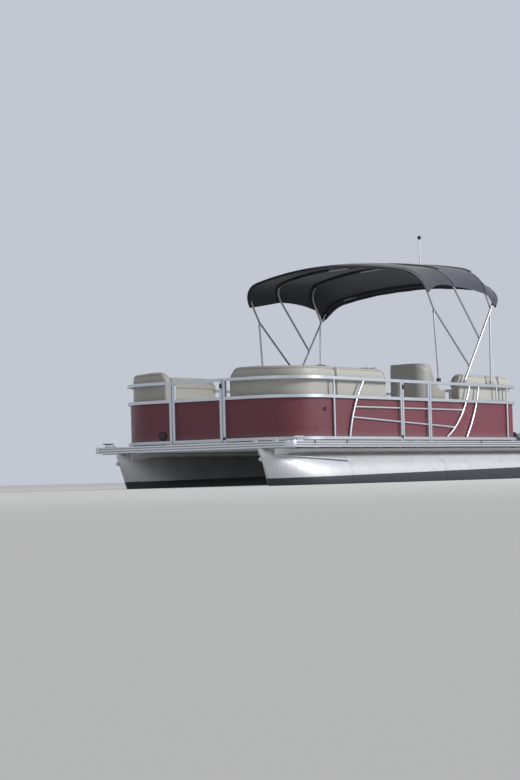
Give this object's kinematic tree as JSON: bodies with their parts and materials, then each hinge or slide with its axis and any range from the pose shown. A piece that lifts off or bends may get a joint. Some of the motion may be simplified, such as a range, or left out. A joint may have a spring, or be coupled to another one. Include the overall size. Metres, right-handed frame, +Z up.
{
  "type": "pontoon boat",
  "caption": "Open pontoon boat with a fenced deck, couches, helm, swivel chairs, folding cloth top and a tilted outboard motor.",
  "frame": {"origin": "midway along the whole boat with its motor tilted, on its centreline, at the foot of the keels", "axes": "+X forward, +Y to port, +Z up"},
  "size_m": [7.4488, 2.59, 3.334],
  "materials": {
    "pontoon_metal": "satin",
    "mill_metal": "mill",
    "rail_metal": "clear anodised",
    "bow_tube": "satin anodised",
    "deck_vinyl": "woven vinyl over plywood",
    "maroon_skin": "gloss with fine ribs",
    "couch_base": "moulded",
    "cream_vinyl": "marine vinyl",
    "grey_vinyl": "moulded",
    "console_gelcoat": "gelcoat",
    "black_trim": "moulded",
    "motor_grey": "satin",
    "motor_black": "gloss",
    "prop_steel": "polished",
    "canopy_cloth": "woven acrylic"
  },
  "bodies": {
    "boat": {"pontoon_port": "pontoon_metal", "pontoon_starboard": "pontoon_metal", "cross_channels": "mill_metal", "deck": "deck_vinyl", "rub_rail": "rail_metal", "fence_port_bow": "rail_metal", "fence_port_aft": "rail_metal", "fence_starboard_bow": "rail_metal", "fence_starboard_aft": "rail_metal", "fence_skins": "maroon_skin", "couch_bases": "couch_base", "bow_couch_seats": "cream_vinyl", "bow_couch_backs": "cream_vinyl", "aft_couch_seat": "cream_vinyl", "aft_couch_back": "cream_vinyl", "helm_console": "console_gelcoat", "chair_pedestals": "mill_metal", "motor_pod": "mill_metal", "outboard_clamp": "motor_grey", "ladder_bracket": "rail_metal", "cleats": "rail_metal", "main_bow": "bow_tube", "brace_feet": "black_trim", "canopy": "canopy_cloth", "light_pole": "bow_tube"},
    "bow_gate": {"bow_gate": "rail_metal", "bow_gate_skin": "maroon_skin"},
    "side_gate": {"side_gate": "rail_metal", "side_gate_skin": "maroon_skin"},
    "stern_gate": {"stern_gate": "rail_metal", "stern_gate_skin": "maroon_skin"},
    "helm_chair": {"helm_chair_shell": "grey_vinyl", "helm_chair_cushion": "cream_vinyl"},
    "guest_chair": {"guest_chair_shell": "grey_vinyl", "guest_chair_cushion": "cream_vinyl"},
    "steering_wheel": {"steering_wheel": "black_trim"},
    "outboard_bracket": {"outboard_swivel": "motor_grey"},
    "outboard": {"outboard_leg": "motor_black", "outboard_cowl": "motor_black"},
    "propeller": {"propeller": "prop_steel"},
    "swim_ladder": {"swim_ladder": "rail_metal"},
    "front_bow": {"front_bow": "bow_tube"},
    "mid_bow": {"mid_bow": "bow_tube"},
    "aft_bow": {"aft_bow": "bow_tube"},
    "front_braces": {"front_braces": "bow_tube"}
  },
  "joints": [
    {"name": "bow_gate_hinge", "type": "hinge", "parent": "boat", "child": "bow_gate", "pos_m": [3.46645, -0.33, 1.05], "axis": [0, 0, 1], "range_deg": [0, 90]},
    {"name": "side_gate_hinge", "type": "hinge", "parent": "boat", "child": "side_gate", "pos_m": [0.80645, 1.186, 1.05], "axis": [0, 0, -1], "range_deg": [0, 90]},
    {"name": "stern_gate_hinge", "type": "hinge", "parent": "boat", "child": "stern_gate", "pos_m": [-1.26955, -0.856, 1.05], "axis": [0, 0, -1], "range_deg": [0, 90]},
    {"name": "helm_chair_swivel", "type": "hinge", "parent": "boat", "child": "helm_chair", "pos_m": [-0.38555, -0.56, 1.12], "axis": [0, 0, 1], "continuous": true},
    {"name": "guest_chair_swivel", "type": "hinge", "parent": "boat", "child": "guest_chair", "pos_m": [-0.59555, 0.22, 1.12], "axis": [0, 0, 1], "continuous": true},
    {"name": "outboard_tilt", "type": "hinge", "parent": "boat", "child": "outboard_bracket", "pos_m": [-2.66555, 0, 0.68], "axis": [0, -1, 0], "range_deg": [0, 62]},
    {"name": "outboard_steer", "type": "hinge", "parent": "outboard_bracket", "child": "outboard", "pos_m": [-2.74302, 0, 0.82569], "axis": [0.8829, 0, 0.4695], "range_deg": [-30, 30]},
    {"name": "steering_wheel_turn", "type": "hinge", "parent": "boat", "child": "steering_wheel", "pos_m": [0.25445, -0.56, 1.5325], "axis": [-0.5358, 0, 0.8443], "range_deg": [-420, 420]},
    {"name": "propeller_spin", "type": "hinge", "parent": "outboard", "child": "propeller", "pos_m": [-3.55714, 0, 0.82319], "axis": [-0.4695, 0, 0.8829], "continuous": true},
    {"name": "ladder_fold", "type": "hinge", "parent": "boat", "child": "swim_ladder", "pos_m": [-2.66955, -0.85, 0.792], "axis": [0, -1, 0], "range_deg": [0, 255]},
    {"name": "front_bow_fold", "type": "hinge", "parent": "boat", "child": "front_bow", "pos_m": [-0.1411, 0, 1.64037], "axis": [0, -1, 0], "range_deg": [0, 71], "deforming": ["canopy"]},
    {"name": "mid_bow_fold", "type": "hinge", "parent": "boat", "child": "mid_bow", "pos_m": [-0.40271, 0, 1.97531], "axis": [0, -1, 0], "range_deg": [0, 72]},
    {"name": "aft_bow_fold", "type": "hinge", "parent": "boat", "child": "aft_bow", "pos_m": [-0.69817, 0, 2.3536], "axis": [0, -1, 0], "range_deg": [0, 62]},
    {"name": "front_brace_fold", "type": "hinge", "parent": "front_bow", "child": "front_braces", "pos_m": [0.63515, 0, 2.21471], "axis": [0, -1, 0], "range_deg": [-40, 0]}
  ],
  "couplings": [
    {"joint": "steering_wheel_turn", "follows": "outboard_steer", "ratio": -14},
    {"joint": "mid_bow_fold", "follows": "front_bow_fold", "ratio": 1.0141},
    {"joint": "aft_bow_fold", "follows": "front_bow_fold", "ratio": 0.87324},
    {"joint": "front_brace_fold", "follows": "front_bow_fold", "ratio": -0.56338}
  ]
}
